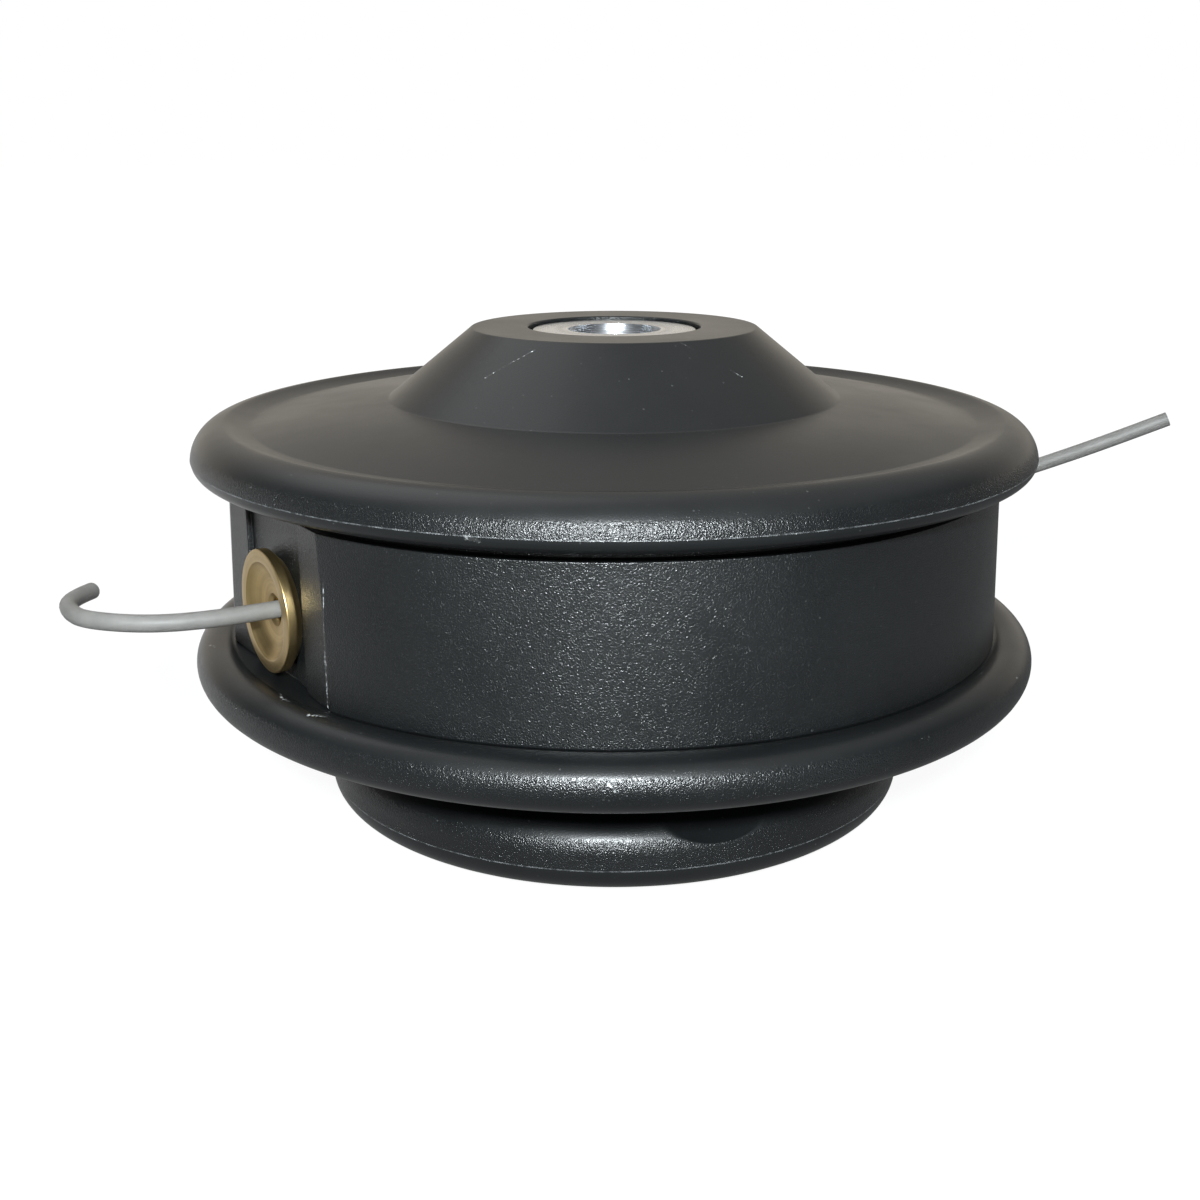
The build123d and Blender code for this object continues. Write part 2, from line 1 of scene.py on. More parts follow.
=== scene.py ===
import bpy
import bmesh
from math import acos, atan2, ceil, cos, degrees, hypot, pi, radians, sin, sqrt, tan
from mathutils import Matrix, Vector


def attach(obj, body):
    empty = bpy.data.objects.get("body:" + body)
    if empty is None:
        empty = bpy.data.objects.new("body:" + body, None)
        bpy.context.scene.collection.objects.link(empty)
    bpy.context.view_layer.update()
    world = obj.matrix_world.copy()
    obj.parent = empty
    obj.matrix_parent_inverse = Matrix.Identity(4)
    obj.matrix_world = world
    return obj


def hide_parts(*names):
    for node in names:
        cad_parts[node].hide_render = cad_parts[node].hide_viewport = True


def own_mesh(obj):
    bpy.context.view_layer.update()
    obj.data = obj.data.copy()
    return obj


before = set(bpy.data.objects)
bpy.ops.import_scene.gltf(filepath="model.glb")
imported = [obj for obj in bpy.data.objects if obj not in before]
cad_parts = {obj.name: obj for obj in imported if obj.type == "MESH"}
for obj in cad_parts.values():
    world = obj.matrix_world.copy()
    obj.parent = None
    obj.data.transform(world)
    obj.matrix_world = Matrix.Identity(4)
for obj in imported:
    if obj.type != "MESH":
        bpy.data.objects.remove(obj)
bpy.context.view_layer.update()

# Sizes in millimetres. They repeat the part's own, so each piece lies over its solid.
MM = 0.001
EXIT_ANGLE = 213.5
EXIT_HEIGHT = 38.4
FACE = 57.5
GROOVE_FLOOR = 56.7
GROOVE_HALF = 9.65
PAD = 53.5
WALL_FOOT = (60.4, 28.5)
WALL_TOP = (59.7, 52.95)
GROOVE_DEPTH = 1.6
FLANGE_FOOT = 54.95
FLANGE_HEIGHT = 57.0
COLUMNS = 384
ARC_POINTS = 84
FLAT_POINTS = 55
CREASE = 32
TOP_FACE = 74.7
INSERT_FACE = 74.2
SCREW_CIRCLE = 56.0
COUNTERBORE_RADIUS = 4.0
SLOT_HALF = 4.7
TOOL_STEPS = 64
EYELET_STEPS = 192


# Profiles and turned meshes

def arc(centre, radius, start, end, steps=10):
    """Points along an arc, in the plane of a profile."""
    points = []
    for index in range(steps + 1):
        angle = radians(start + (end - start) * index / steps)
        points.append((centre[0] + radius * cos(angle), centre[1] + radius * sin(angle)))
    return points


def bow(start, end, rise, steps=12):
    """Points along a shallow bow from start to end. A positive rise is to the left of the way."""
    along = (end[0] - start[0], end[1] - start[1])
    length = hypot(*along)
    side = (-along[1] / length, along[0] / length)
    points = []
    for index in range(steps + 1):
        share = index / steps
        lift = 4 * rise * share * (1 - share)
        points.append(tuple(
            start[axis] + along[axis] * share + side[axis] * lift for axis in (0, 1)
        ))
    return points


def soften(points, closed=True, steps=None):
    """Round the corners that carry a radius: each point is (x, y) or (x, y, radius)."""
    result = []
    count = len(points)
    for index, point in enumerate(points):
        at_end = not closed and index in (0, count - 1)
        if len(point) == 2 or at_end:
            result.append((point[0], point[1]))
            continue
        before = Vector(points[index - 1][:2])
        after = Vector(points[(index + 1) % count][:2])
        corner = Vector(point[:2])
        back = (before - corner).normalized()
        ahead = (after - corner).normalized()
        opening = acos(max(-1.0, min(1.0, back.dot(ahead))))
        reach = point[2] / tan(opening / 2)
        centre = corner + (back + ahead).normalized() * (point[2] / sin(opening / 2))
        first = corner + back * reach - centre
        last = corner + ahead * reach - centre
        start = atan2(first.y, first.x)
        sweep = atan2(last.y, last.x) - start
        sweep = (sweep + pi) % (2 * pi) - pi
        count_here = steps or max(3, ceil(abs(degrees(sweep)) / 18))
        for step in range(count_here + 1):
            angle = start + sweep * step / count_here
            result.append((centre.x + point[2] * cos(angle), centre.y + point[2] * sin(angle)))
    return result


def turned_rows(profile, columns=COLUMNS):
    """One closed ring of points, in millimetres, for each (radius, height)."""
    rows = []
    for radius, height in profile:
        rows.append([
            Vector((
                radius * cos(2 * pi * index / columns),
                radius * sin(2 * pi * index / columns),
                height,
            ))
            for index in range(columns)
        ])
    return rows


def skin(name, rows, closed=True):
    """Mesh over rings of points. A closed profile joins its last ring to its first."""
    mesh = bmesh.new()
    made = [[mesh.verts.new(point * MM) for point in row] for row in rows]
    uppers = made[1:] + made[:1] if closed else made[1:]
    for lower, upper in zip(made, uppers):
        for index, corner in enumerate(lower):
            following = (index + 1) % len(lower)
            mesh.faces.new((corner, lower[following], upper[following], upper[index]))
    bmesh.ops.remove_doubles(mesh, verts=mesh.verts, dist=1e-7)
    bmesh.ops.recalc_face_normals(mesh, faces=mesh.faces)
    return settle(name, mesh)


def settle(name, mesh):
    """Turn working mesh data into a shaded object with crisp corners."""
    for face in mesh.faces:
        face.smooth = True
    for edge in mesh.edges:
        if len(edge.link_faces) == 2 and edge.calc_face_angle(0) > radians(CREASE):
            edge.smooth = False
    data = bpy.data.meshes.new(name)
    mesh.to_mesh(data)
    mesh.free()
    piece = bpy.data.objects.new(name, data)
    bpy.context.scene.collection.objects.link(piece)
    even = piece.modifiers.new("even shading", "WEIGHTED_NORMAL")
    even.keep_sharp = True
    return piece


def turned(name, profile, columns=COLUMNS, closed=True):
    """Turned piece about the head's axis."""
    return skin(name, turned_rows(profile, columns), closed)


def carve(piece, tools):
    """Cut tool solids out of a piece, once, and shade it again."""
    for tool in tools:
        cut = piece.modifiers.new("cut", "BOOLEAN")
        cut.object = tool
        cut.operation = "DIFFERENCE"
        cut.solver = "MANIFOLD"
    for modifier in list(piece.modifiers):
        if modifier.type == "WEIGHTED_NORMAL":
            piece.modifiers.remove(modifier)
    view = bpy.context.evaluated_depsgraph_get()
    mesh = bmesh.new()
    mesh.from_object(piece, view)
    name = piece.name
    for item in [piece] + tools:
        data = item.data
        bpy.data.objects.remove(item)
        bpy.data.meshes.remove(data)
    return settle(name, mesh)


def place(piece, body, slot, material, *nodes):
    """Finish a piece: its material, its body and the solids it stands for. The slot is not used."""
    piece.data.materials.clear()
    piece.data.materials.append(material)
    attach(piece, body)
    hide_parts(*nodes)


# Small helpers for shader nodes

def noise(tree, scale, detail=2.0, rough=0.5, vector=None):
    """Noise in object space."""
    node = tree.nodes.new("ShaderNodeTexNoise")
    node.inputs["Detail"].default_value = detail
    node.inputs["Roughness"].default_value = rough
    if vector is None:
        vector = tree.nodes.new("ShaderNodeTexCoord").outputs["Object"]
    tree.links.new(vector, node.inputs["Vector"])
    feed(tree, scale, node.inputs["Scale"])
    return node.outputs["Fac"]


def feed(tree, value, socket):
    """Set a socket to a number or colour, or link it to another socket."""
    if isinstance(value, bpy.types.NodeSocket):
        tree.links.new(value, socket)
    else:
        socket.default_value = value


def work(tree, operation, first, second=0.0, third=0.0, clamp=False):
    """Maths node."""
    node = tree.nodes.new("ShaderNodeMath")
    node.operation = operation
    node.use_clamp = clamp
    for value, socket in zip((first, second, third), node.inputs):
        feed(tree, value, socket)
    return node.outputs[0]


def ramp(tree, value, low, high, low_out=0.0, high_out=1.0, smooth=False):
    """Map a value from one range to another, clamped."""
    node = tree.nodes.new("ShaderNodeMapRange")
    node.interpolation_type = "SMOOTHSTEP" if smooth else "LINEAR"
    for given, label in (
        (value, "Value"),
        (low, "From Min"),
        (high, "From Max"),
        (low_out, "To Min"),
        (high_out, "To Max"),
    ):
        feed(tree, given, node.inputs[label])
    return node.outputs["Result"]


def blend_colours(tree, share, first, second):
    """Mix two colours."""
    node = tree.nodes.new("ShaderNodeMix")
    node.data_type = "RGBA"
    feed(tree, share, node.inputs["Factor"])
    feed(tree, first, node.inputs["A"])
    feed(tree, second, node.inputs["B"])
    return node.outputs["Result"]


# Camera, floor and lamps

FILL = (0.5, 0.52, 0.54)


def make_camera():
    """Close, slightly high view of the head, as in the photograph."""
    data = bpy.data.cameras.new("camera")
    data.sensor_width = 36.0
    data.lens = 44.86
    data.shift_x = -0.0119
    data.clip_start = 0.01
    camera = bpy.data.objects.new("camera", data)
    camera.location = (0, -0.2344, 0.1011)
    camera.rotation_euler = (radians(90 - 16.83), 0, 0)
    bpy.context.scene.collection.objects.link(camera)
    bpy.context.scene.camera = camera


def seen_by(tree):
    """Masks of the rays that see a thing directly or through glass, and of those mirrored."""
    rays = tree.nodes.new("ShaderNodeLightPath").outputs
    direct = work(tree, "MAXIMUM", rays["Is Camera Ray"], rays["Is Transmission Ray"])
    return direct, rays["Is Glossy Ray"]


def make_surroundings():
    """White backdrop, a dimmer room behind the lens, and a pale floor that keeps the shadow. In
    mirrored rays the floor glows as a painted reflection, bright behind the head on its left, and
    as a painted shade, dim near the head in front.
    """
    world = bpy.data.worlds.new("studio")
    bpy.context.scene.world = world
    world.use_nodes = True
    tree = world.node_tree
    tree.nodes.clear()
    direction = tree.nodes.new("ShaderNodeSeparateXYZ")
    tree.links.new(tree.nodes.new("ShaderNodeTexCoord").outputs["Generated"], direction.inputs[0])
    behind = ramp(tree, direction.outputs["Y"], 0.25, 0.9, smooth=True)
    low = ramp(tree, direction.outputs["Z"], 0.05, 0.6, 1.0, 0.22)
    direct, glossy = seen_by(tree)
    overhead = ramp(tree, direction.outputs["Z"], 0.4, 0.85, smooth=True)
    room = blend_colours(tree, overhead, (0.1, 0.104, 0.11, 1), (0.5, 0.5, 0.5, 1))
    room = blend_colours(tree, work(tree, "MULTIPLY", behind, low), room, (0.92, 0.85, 0.74, 1))
    colour = blend_colours(tree, glossy, (*FILL, 1), room)
    colour = blend_colours(tree, direct, colour, (1, 1, 1, 1))
    light = tree.nodes.new("ShaderNodeBackground")
    output = tree.nodes.new("ShaderNodeOutputWorld")
    tree.links.new(colour, light.inputs["Color"])
    tree.links.new(light.outputs[0], output.inputs["Surface"])

    bpy.ops.mesh.primitive_plane_add(size=16, location=(0, 0, -0.0003))
    floor = bpy.context.object
    floor.name = "floor"
    material = bpy.data.materials.new("pale floor")
    material.use_nodes = True
    tree = material.node_tree
    shader = tree.nodes["Principled BSDF"]
    shader.inputs["Base Color"].default_value = (0.07, 0.07, 0.07, 1)
    shader.inputs["Roughness"].default_value = 0.9
    shader.inputs["Specular IOR Level"].default_value = 0.1
    glow = tree.nodes.new("ShaderNodeEmission")
    glow.inputs["Color"].default_value = (1, 1, 1, 1)
    reach = tree.nodes.new("ShaderNodeVectorMath")
    reach.operation = "LENGTH"
    spot = tree.nodes.new("ShaderNodeTexCoord").outputs["Object"]
    tree.links.new(spot, reach.inputs[0])
    across = tree.nodes.new("ShaderNodeSeparateXYZ")
    tree.links.new(spot, across.inputs[0])
    # Painted reflection and painted shade: the floor's glow in mirrored rays is bright behind the
    # head on the left, dimmer on the right, and dim near the head in front.
    painted_reflection_left = ramp(tree, across.outputs["X"], -0.1, 0.1, 0.8, 0.15)
    painted_shade_near_head = ramp(tree, reach.outputs["Value"], 0.09, 0.18, 0.02, 0.22)
    painted_reflection_level = ramp(tree, across.outputs["Y"], -0.12, 0.06, painted_shade_near_head, painted_reflection_left)
    level = ramp(tree, reach.outputs["Value"], 0.15, 0.6, 0.93, 1.0)
    direct, glossy = seen_by(tree)
    shown = work(tree, "MAXIMUM", direct, work(tree, "MULTIPLY", glossy, painted_reflection_level))
    strength = work(tree, "MULTIPLY", shown, level)
    add = tree.nodes.new("ShaderNodeAddShader")
    tree.links.new(strength, glow.inputs["Strength"])
    tree.links.new(shader.outputs[0], add.inputs[0])
    tree.links.new(glow.outputs[0], add.inputs[1])
    tree.links.new(add.outputs[0], tree.nodes["Material Output"].inputs["Surface"])
    floor.data.materials.append(material)


def make_lamp(name, location, target, size, watts, colour=(1, 1, 1)):
    """Square soft lamp that faces a point."""
    data = bpy.data.lights.new(name, "AREA")
    data.size = size
    data.energy = watts
    data.color = colour
    lamp = bpy.data.objects.new(name, data)
    lamp.location = location
    lamp.visible_camera = False
    lamp.rotation_euler = (Vector(target) - Vector(location)).to_track_quat("-Z", "Y").to_euler()
    bpy.context.scene.collection.objects.link(lamp)


make_camera()
make_surroundings()
make_lamp(
    "lamp above the lens", (-0.012, -0.40, 0.215), (0, 0, 0.04), size=0.03, watts=4.0,
    colour=(0.93, 1.0, 1.03),
)
make_lamp("soft box overhead", (-0.4, 0.3, 0.85), (0, 0, 0.05), size=0.7, watts=1.2)
bpy.context.scene.view_settings.view_transform = "Standard"


# Shared effects

def effect(name, inputs, outputs):
    """Shader node group with named inputs (name, kind, value) and outputs (name, kind)."""
    group = bpy.data.node_groups.new(name, "ShaderNodeTree")
    for label, kind, value in inputs:
        socket = group.interface.new_socket(label, in_out="INPUT", socket_type=kind)
        socket.default_value = value
    for label, kind in outputs:
        group.interface.new_socket(label, in_out="OUTPUT", socket_type=kind)
    enter = group.nodes.new("NodeGroupInput")
    leave = group.nodes.new("NodeGroupOutput")
    return group, enter, leave


FLOAT = "NodeSocketFloat"
COLOUR = "NodeSocketColor"
VECTOR = "NodeSocketVector"


def make_grain():
    """Etched grain on upright moulded faces, smoother on faces that look up or down, with pale
    cells that are painted glints.
    """
    group, enter, leave = effect(
        "moulded grain",
        [
            ("Grain Size", FLOAT, 4400.0),
            ("Lower Edge", FLOAT, -0.03),
            ("Glint Size", FLOAT, 1500.0),
            ("Glint Share", FLOAT, 0.05),
        ],
        [("Height", FLOAT), ("Etched", FLOAT), ("Painted Glints", FLOAT), ("Cloud", FLOAT)],
    )
    facing = group.nodes.new("ShaderNodeSeparateXYZ")
    group.links.new(group.nodes.new("ShaderNodeNewGeometry").outputs["Normal"], facing.inputs[0])
    uneven = work(group, "MULTIPLY", work(group, "SUBTRACT", noise(group, 1500.0, 2.0), 0.5), 0.16)
    tilt = work(group, "ADD", facing.outputs["Z"], uneven)
    from_above = ramp(group, tilt, 0.4, 0.56, 1.0, 0.0, smooth=True)
    lower = enter.outputs["Lower Edge"]
    from_below = ramp(group, facing.outputs["Z"], work(group, "SUBTRACT", lower, 0.03), lower)
    etched = work(group, "MULTIPLY", from_above, from_below)
    fine = noise(group, enter.outputs["Grain Size"], 1.0, 0.5)
    coarse = noise(group, 1300.0, 2.0, 0.5)
    pits = cells(group, enter.outputs["Grain Size"])
    glint = work(group, "MULTIPLY", pits.outputs["Distance"], channel(group, pits, "Blue"))
    relief = work(group, "MULTIPLY_ADD", coarse, 0.1, work(group, "MULTIPLY_ADD", glint, 0.6, fine))
    height = work(group, "MULTIPLY", relief, ramp(group, etched, 0.0, 1.0, 0.1, 1.0))
    # Painted glints: a few cells are picked and painted pale, standing in for the grain catching
    # the light.
    painted_glints = cells(group, enter.outputs["Glint Size"])
    chosen = work(group, "LESS_THAN", channel(group, painted_glints, "Red"), enter.outputs["Glint Share"])
    near = ramp(group, painted_glints.outputs["Distance"], 0.1, 0.25, 1.0, 0.0)
    bright = work(group, "MULTIPLY", chosen, near)
    strength = work(group, "MULTIPLY", bright, channel(group, painted_glints, "Green"))
    group.links.new(height, leave.inputs["Height"])
    group.links.new(etched, leave.inputs["Etched"])
    group.links.new(strength, leave.inputs["Painted Glints"])
    group.links.new(noise(group, 60.0, 4.0, 0.6), leave.inputs["Cloud"])
    return group


def cells(tree, scale):
    """Random cells in object space."""
    node = tree.nodes.new("ShaderNodeTexVoronoi")
    tree.links.new(tree.nodes.new("ShaderNodeTexCoord").outputs["Object"], node.inputs["Vector"])
    feed(tree, scale, node.inputs["Scale"])
    return node


def channel(tree, node, name):
    """One channel of a cell pattern's random colour."""
    split = tree.nodes.new("ShaderNodeSeparateColor")
    tree.links.new(node.outputs["Color"], split.inputs["Color"])
    return split.outputs[name]


def make_parting_line():
    """Thin broken line round the axis at one height, along the mould's seam, where the materials
    paint a pale highlight.
    """
    group, enter, leave = effect(
        "parting line",
        [("Height", FLOAT, 0.0), ("Width", FLOAT, 0.0001)],
        [("Mask", FLOAT)],
    )
    place_of = group.nodes.new("ShaderNodeSeparateXYZ")
    group.links.new(group.nodes.new("ShaderNodeTexCoord").outputs["Object"], place_of.inputs[0])
    above = work(group, "SUBTRACT", place_of.outputs["Z"], enter.outputs["Height"])
    distance = work(group, "ABSOLUTE", above)
    mask = ramp(group, work(group, "DIVIDE", distance, enter.outputs["Width"]), 0.4, 0.6, 1.0, 0.0)
    gaps = ramp(group, noise(group, 900.0, 3.0, 0.7), 0.4, 0.6, 0.15, 1.0)
    group.links.new(work(group, "MULTIPLY", mask, gaps), leave.inputs["Mask"])
    return group


def make_turning():
    """Fine rings left by turning, about an axis through a point."""
    group, enter, leave = effect(
        "turning marks",
        [
            ("Centre", VECTOR, (0, 0, 0)),
            ("Axis", VECTOR, (0, 0, 1)),
            ("Rings", FLOAT, 9000.0),
            ("Uneven", FLOAT, 0.3),
        ],
        [("Height", FLOAT), ("Tone", FLOAT)],
    )
    place_of = group.nodes.new("ShaderNodeTexCoord")
    offset = group.nodes.new("ShaderNodeVectorMath")
    offset.operation = "SUBTRACT"
    group.links.new(place_of.outputs["Object"], offset.inputs[0])
    group.links.new(enter.outputs["Centre"], offset.inputs[1])
    across = group.nodes.new("ShaderNodeVectorMath")
    across.operation = "CROSS_PRODUCT"
    group.links.new(offset.outputs[0], across.inputs[0])
    group.links.new(enter.outputs["Axis"], across.inputs[1])
    radius = group.nodes.new("ShaderNodeVectorMath")
    radius.operation = "LENGTH"
    group.links.new(across.outputs[0], radius.inputs[0])
    along = group.nodes.new("ShaderNodeVectorMath")
    along.operation = "DOT_PRODUCT"
    group.links.new(offset.outputs[0], along.inputs[0])
    group.links.new(enter.outputs["Axis"], along.inputs[1])
    both = group.nodes.new("ShaderNodeCombineXYZ")
    group.links.new(radius.outputs["Value"], both.inputs["X"])
    group.links.new(along.outputs["Value"], both.inputs["Y"])
    lines = noise(group, enter.outputs["Rings"], 2.0, 0.7, both.outputs[0])
    broad = noise(group, 900.0, 2.0, 0.5, both.outputs[0])
    patch = noise(group, 300.0, 3.0, 0.6)
    uneven = work(group, "MULTIPLY", patch, enter.outputs["Uneven"])
    tone = work(group, "ADD", work(group, "MULTIPLY", broad, 0.7), uneven, clamp=True)
    group.links.new(lines, leave.inputs["Height"])
    group.links.new(tone, leave.inputs["Tone"])
    return group


def make_scratch_and_highlight():
    """Thin straight line between two points, broken up along its length, used for scratches and for
    painted highlights along edges.
    """
    group, enter, leave = effect(
        "scratch and highlight line",
        [
            ("Start", VECTOR, (0, 0, 0)),
            ("End", VECTOR, (0, 0, 1)),
            ("Width", FLOAT, 0.0001),
            ("Broken", FLOAT, 0.5),
        ],
        [("Mask", FLOAT)],
    )
    place_of = group.nodes.new("ShaderNodeTexCoord").outputs["Object"]

    def vector_work(operation, first, second):
        node = group.nodes.new("ShaderNodeVectorMath")
        node.operation = operation
        group.links.new(first, node.inputs[0])
        if second is not None:
            into = node.inputs["Scale"] if operation == "SCALE" else node.inputs[1]
            group.links.new(second, into)
        return node.outputs["Value" if operation in ("DOT_PRODUCT", "LENGTH") else "Vector"]

    line = vector_work("SUBTRACT", enter.outputs["End"], enter.outputs["Start"])
    offset = vector_work("SUBTRACT", place_of, enter.outputs["Start"])
    share = work(
        group,
        "DIVIDE",
        vector_work("DOT_PRODUCT", offset, line),
        vector_work("DOT_PRODUCT", line, line),
        clamp=True,
    )
    nearest = vector_work("SCALE", line, share)
    distance = vector_work("LENGTH", vector_work("SUBTRACT", offset, nearest), None)
    wander = ramp(group, noise(group, 2500.0, 2.0), 0.25, 0.75, 0.4, 1.6)
    width = work(group, "MULTIPLY", enter.outputs["Width"], wander)
    mask = ramp(group, work(group, "DIVIDE", distance, width), 0.5, 1.0, 1.0, 0.0)
    gaps = ramp(group, noise(group, 1500.0, 3.0), enter.outputs["Broken"], 0.62, 0.08, 1.0)
    group.links.new(work(group, "MULTIPLY", mask, gaps), leave.inputs["Mask"])
    return group


GRAIN = make_grain()
TURNING = make_turning()
SCRATCH_AND_HIGHLIGHT = make_scratch_and_highlight()
PARTING_LINE = make_parting_line()


# Materials

def start_material(name, colour, roughness, metallic=0.0):
    """Material with a plain shader, ready for its detail."""
    material = bpy.data.materials.new(name)
    material.use_nodes = True
    shader = material.node_tree.nodes["Principled BSDF"]
    shader.inputs["Base Color"].default_value = (*colour, 1)
    shader.inputs["Roughness"].default_value = roughness
    shader.inputs["Metallic"].default_value = metallic
    return material, material.node_tree, shader


def use(tree, group, **values):
    """Place a shared effect with its own values."""
    node = tree.nodes.new("ShaderNodeGroup")
    node.node_tree = group
    for label, value in values.items():
        feed(tree, value, node.inputs[label.replace("_", " ")])
    return node


def emboss(tree, shader, height, depth):
    """Bump from a height pattern, with its depth in metres."""
    bump = tree.nodes.new("ShaderNodeBump")
    bump.inputs["Strength"].default_value = 1.0
    bump.inputs["Distance"].default_value = depth
    tree.links.new(height, bump.inputs["Height"])
    tree.links.new(bump.outputs["Normal"], shader.inputs["Normal"])


def black_plastic(name, base, worn, rough, depth, lower_edge=-0.03, seam_highlight=None, scratches_and_edge_highlights=()):
    """Moulded black nylon: grained upright faces, satin ones, clouds and scratches, with pale
    specks painted as glints, a seam line painted pale as a highlight and given lines painted pale
    as edge highlights.
    """
    material, tree, shader = start_material(name, base, rough[1])
    shader.inputs["Specular IOR Level"].default_value = 0.55
    grain = use(tree, GRAIN, Lower_Edge=lower_edge)
    # Pale specks in the base colour are painted glints of the grain.
    painted_glints = ramp(tree, grain.outputs["Painted Glints"], 0.0, 1.0, 0.0, 0.4)
    cloud = ramp(tree, grain.outputs["Cloud"], 0.35, 0.7, 0.0, 0.6)
    colour = blend_colours(tree, cloud, (*base, 1), (*worn, 1))
    colour = blend_colours(tree, painted_glints, colour, (0.12, 0.125, 0.125, 1))
    if seam_highlight:
        # The mould seam is painted as a pale, bluish line: a painted highlight along the seam.
        height, width, tone = seam_highlight
        line = use(tree, PARTING_LINE, Height=height * MM, Width=width * MM)
        pale = (tone, tone * 1.05, tone * 1.08, 1)
        colour = blend_colours(tree, line.outputs["Mask"], colour, pale)
    # Scratches, and on the housing two pale lines painted as a highlight along an edge.
    for start, end, width, tone in scratches_and_edge_highlights:
        mark = use(
            tree,
            SCRATCH_AND_HIGHLIGHT,
            Start=tuple(value * MM for value in start),
            End=tuple(value * MM for value in end),
            Width=width * MM,
        )
        pale = (tone, tone * 1.02, tone * 1.02, 1)
        colour = blend_colours(tree, mark.outputs["Mask"], colour, pale)
    tree.links.new(colour, shader.inputs["Base Color"])
    finish = ramp(tree, grain.outputs["Etched"], 0.0, 1.0, *rough)
    patchy = ramp(tree, grain.outputs["Cloud"], 0.3, 0.7, -0.03, 0.04)
    tree.links.new(work(tree, "ADD", finish, patchy), shader.inputs["Roughness"])
    emboss(tree, shader, grain.outputs["Height"], depth)
    return material


def turned_metal(name, dark, light, roughness, centre, axis, rings=9000.0, depth=0.00002):
    """Turned metal with fine rings in its surface and in its tone."""
    material, tree, shader = start_material(name, light, roughness, 1.0)
    marks = use(tree, TURNING, Centre=centre, Axis=axis, Rings=rings)
    tone = ramp(tree, marks.outputs["Tone"], 0.3, 0.7)
    colour = blend_colours(tree, tone, (*dark, 1), (*light, 1))
    tree.links.new(colour, shader.inputs["Base Color"])
    rough = ramp(tree, marks.outputs["Height"], 0.3, 0.7, roughness - 0.06, roughness + 0.08)
    tree.links.new(rough, shader.inputs["Roughness"])
    emboss(tree, shader, marks.outputs["Height"], depth)
    return material


def plain_steel(name, colour, roughness):
    """Steel hardware with a faint mottle."""
    material, tree, shader = start_material(name, colour, roughness, 1.0)
    mottle = noise(tree, 400.0, 4.0, 0.6)
    dark = tuple(value * 0.7 for value in colour)
    tone = blend_colours(tree, ramp(tree, mottle, 0.35, 0.65), (*dark, 1), (*colour, 1))
    tree.links.new(tone, shader.inputs["Base Color"])
    rough = ramp(tree, mottle, 0.3, 0.7, roughness - 0.05, roughness + 0.1)
    tree.links.new(rough, shader.inputs["Roughness"])
    emboss(tree, shader, noise(tree, 3000.0), 0.00002)
    return material


def milky_nylon(name, base, deep):
    """Milky nylon line with a satin, drawn surface."""
    material, tree, shader = start_material(name, base, 0.55)
    cloud = noise(tree, 350.0, 3.0, 0.6)
    tone = blend_colours(tree, ramp(tree, cloud, 0.35, 0.65), (*deep, 1), (*base, 1))
    tree.links.new(tone, shader.inputs["Base Color"])
    shader.inputs["Subsurface Weight"].default_value = 0.35
    shader.inputs["Subsurface Radius"].default_value = (0.002, 0.002, 0.0018)
    shader.inputs["Subsurface Scale"].default_value = 1.0
    emboss(tree, shader, noise(tree, 1800.0, 2.0), 0.00003)
    return material


# Scratches, and pale lines painted as edge highlights: both ends in millimetres, width in
# millimetres and tone
HOUSING_MARKS = (
    ((-18.41, -21.46, 69.71), (-11.28, -20.62, 73.57), 0.1, 0.5),
    ((9.49, -20.22, 74.51), (18.18, -21.43, 69.85), 0.09, 0.5),
    # These two pale lines follow the rounded corner of the left exit's flat: a painted highlight
    # along that edge.
    ((-38.17, -46.17, 46.6), (-38.54, -45.96, 36.0), 0.12, 0.35),
    ((-38.54, -45.96, 36.0), (-38.7, -46.1, 28.9), 0.3, 0.45),
    ((-0.7, -64.8, 58.4), (0.0, -65.0, 57.5), 0.3, 0.5),
    ((-17.6, -62.6, 56.9), (-16.2, -62.95, 56.55), 0.4, 0.2),
)
COVER_MARKS = (
    ((52.61, -32.12, 28.97), (58.41, -30.09, 27.48), 0.14, 0.4),
    ((-38.6, -46.5, 29.0), (-38.2, -47.2, 29.05), 0.5, 0.5),
    ((-40.68, -48.75, 29.0), (-38.1, -49.6, 29.1), 0.25, 0.4),
    ((-46.32, -39.84, 28.8), (-45.6, -42.4, 29.05), 0.2, 0.4),
    ((-45.6, -42.4, 29.05), (-44.3, -43.9, 29.08), 0.25, 0.4),
    ((-61.71, -18.47, 28.6), (-60.28, -20.39, 28.95), 0.2, 0.35),
    ((-0.6, -66.1, 26.8), (0.1, -66.35, 26.0), 0.3, 0.5),
)

# Roughness of satin and of etched faces, and the grain's depth in metres
MOULDED_FINISH = (0.34, 0.33)
MOULDED_DEPTH = 0.00009

# A seam highlight is its height and width in millimetres and its tone: a pale, bluish line painted
# along the mould seam as a highlight.
housing_black = black_plastic(
    "housing black", (0.0038, 0.0046, 0.005), (0.0068, 0.0078, 0.0082),
    MOULDED_FINISH, MOULDED_DEPTH, seam_highlight=(57.02, 0.16, 0.1), scratches_and_edge_highlights=HOUSING_MARKS,
)
cover_black = black_plastic(
    "cover black", (0.0038, 0.0046, 0.005), (0.0068, 0.0078, 0.0082),
    MOULDED_FINISH, MOULDED_DEPTH, lower_edge=-0.4, seam_highlight=(22.25, 0.14, 0.12),
    scratches_and_edge_highlights=COVER_MARKS,
)
knob_black = black_plastic(
    "knob black", (0.0036, 0.0043, 0.0047), (0.0064, 0.0073, 0.0077),
    MOULDED_FINISH, MOULDED_DEPTH, seam_highlight=(4.85, 0.16, 0.1),
)
spool_black = black_plastic(
    "spool black", (0.03, 0.03, 0.03), (0.05, 0.05, 0.05), (0.42, 0.48), 0.0001,
)
